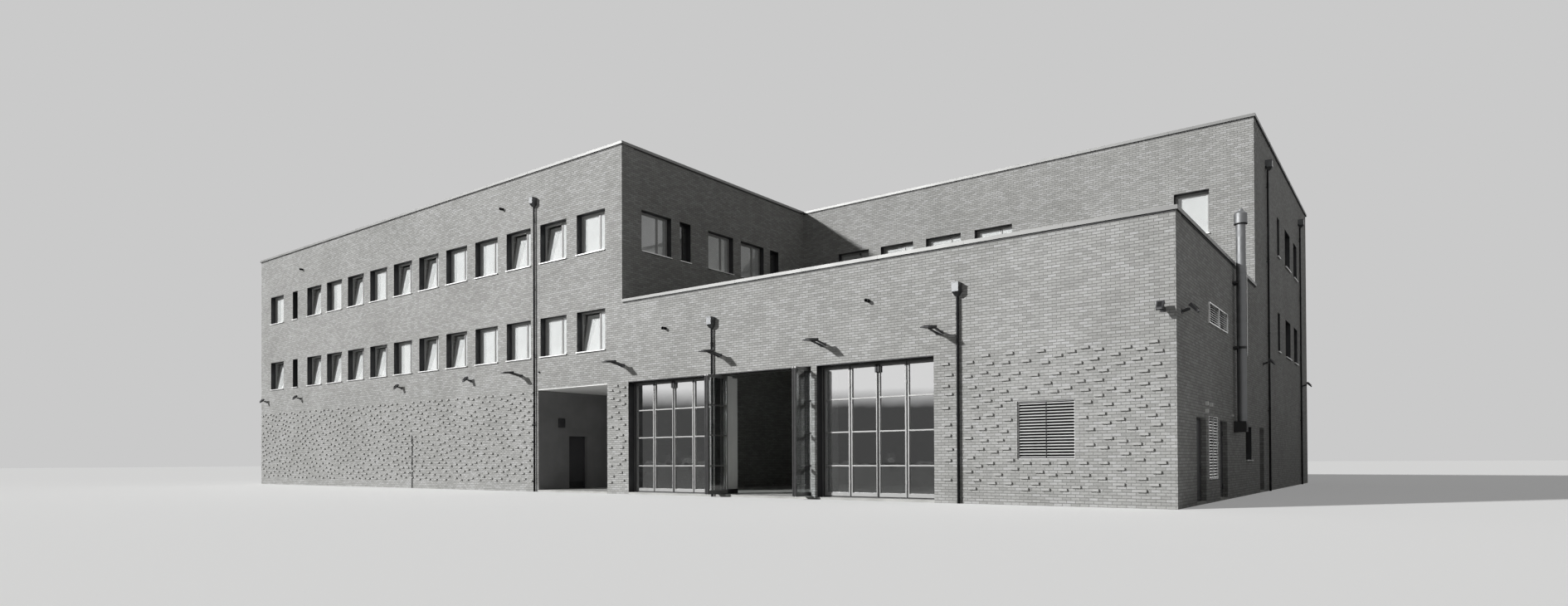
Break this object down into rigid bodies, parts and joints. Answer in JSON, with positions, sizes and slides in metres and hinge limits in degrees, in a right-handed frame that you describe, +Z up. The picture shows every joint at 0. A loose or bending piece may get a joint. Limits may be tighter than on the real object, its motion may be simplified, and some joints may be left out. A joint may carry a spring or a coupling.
{
  "type": "fire station building, 1:2 scale model",
  "caption": "Brick fire station as a half-size scale model: long office bars in a Z plan and a low vehicle hall with glazed folding gates, a porch, louvres and hinged doors.",
  "frame": {"origin": "middle of the plan, on the flat face that rests on the ground", "axes": "+X along the front from the three-storey end to the hall end, +Y from the front to the back, +Z up"},
  "size_m": [28.3111, 14.8961, 7.135],
  "materials": {
    "brick": "light facing brick laid in running bond, matt and slightly rough",
    "concrete": "smooth cast concrete",
    "capping": "natural sheet metal, satin",
    "window_frame": "light powder coat, satin",
    "window_sill": "natural anodised sheet, satin",
    "window_glass": "clear insulating glass",
    "gate_frame": "natural anodised profile, satin",
    "gate_glass": "clear glass",
    "rubber": "black rubber profile",
    "door": "dark grey powder coat",
    "louvre": "light grey powder coat, satin",
    "rainwater": "dark grey coated sheet",
    "flue": "plain stainless tube",
    "lamp": "dark grey powder coat",
    "white_paint": "smooth render, painted white",
    "painted_wall": "smooth render, painted grey"
  },
  "bodies": {
    "building": {"front_wall_ground": "brick", "front_wall_upper": "brick", "rear_wall": "brick", "wing_side_wall": "brick", "yard_side_wall": "brick", "court_wall": "brick", "yard_wall": "brick", "right_end_wall_ground": "brick", "right_end_wall_upper": "brick", "left_end_wall": "brick", "hall_front_piers": "brick", "hall_front_wall": "brick", "hall_front_wall_upper": "brick", "hall_end_wall_ground": "brick", "hall_end_wall_upper": "brick", "ground_slab": "concrete", "first_floor_slab": "concrete", "second_floor_slab": "concrete", "main_roof_slab": "concrete", "hall_roof_slab": "concrete", "main_coping": "capping", "hall_coping": "capping", "window_frames": "window_frame", "window_sills": "window_sill", "front_window_glass": "window_glass", "rear_window_glass": "window_glass", "court_window_glass": "window_glass", "yard_window_glass": "window_glass", "end_window_glass": "window_glass", "gate_surrounds": "gate_frame", "closed_gate_leaves": "gate_frame", "open_gate_leaves": "gate_frame", "gate_glass": "gate_glass", "gate_seals": "rubber", "door_frames": "door", "front_louvre": "louvre", "end_louvres": "louvre", "downpipes": "rainwater", "overflow_spouts": "rainwater", "flue": "flue", "wall_lamps": "lamp", "porch_ceiling": "white_paint", "gate_inner_piers": "white_paint", "porch_side_wall": "painted_wall", "porch_side_wall_upper": "painted_wall", "porch_back_wall": "painted_wall", "porch_hall_wall": "painted_wall"},
    "front_door_leaf": {"front_door": "door"},
    "middle_door_leaf": {"middle_door": "door"},
    "back_door_leaf": {"back_door": "door"},
    "porch_door_leaf": {"porch_door": "door"}
  },
  "joints": [
    {"name": "front_door_hinge", "type": "hinge", "parent": "building", "child": "front_door_leaf", "pos_m": [13.7845, -6.0125, 0.2], "axis": [0, 0, -1], "range_deg": [0, 90]},
    {"name": "middle_door_hinge", "type": "hinge", "parent": "building", "child": "middle_door_leaf", "pos_m": [13.7845, -3.8475, 0.2], "axis": [0, 0, 1], "range_deg": [0, 90]},
    {"name": "back_door_hinge", "type": "hinge", "parent": "building", "child": "back_door_leaf", "pos_m": [13.7845, -0.6175, 0.2], "axis": [0, 0, -1], "range_deg": [0, 90]},
    {"name": "porch_door_hinge", "type": "hinge", "parent": "building", "child": "porch_door_leaf", "pos_m": [0.4545, -6.2925, 0.2], "axis": [0, 0, -1], "range_deg": [0, 90]}
  ]
}
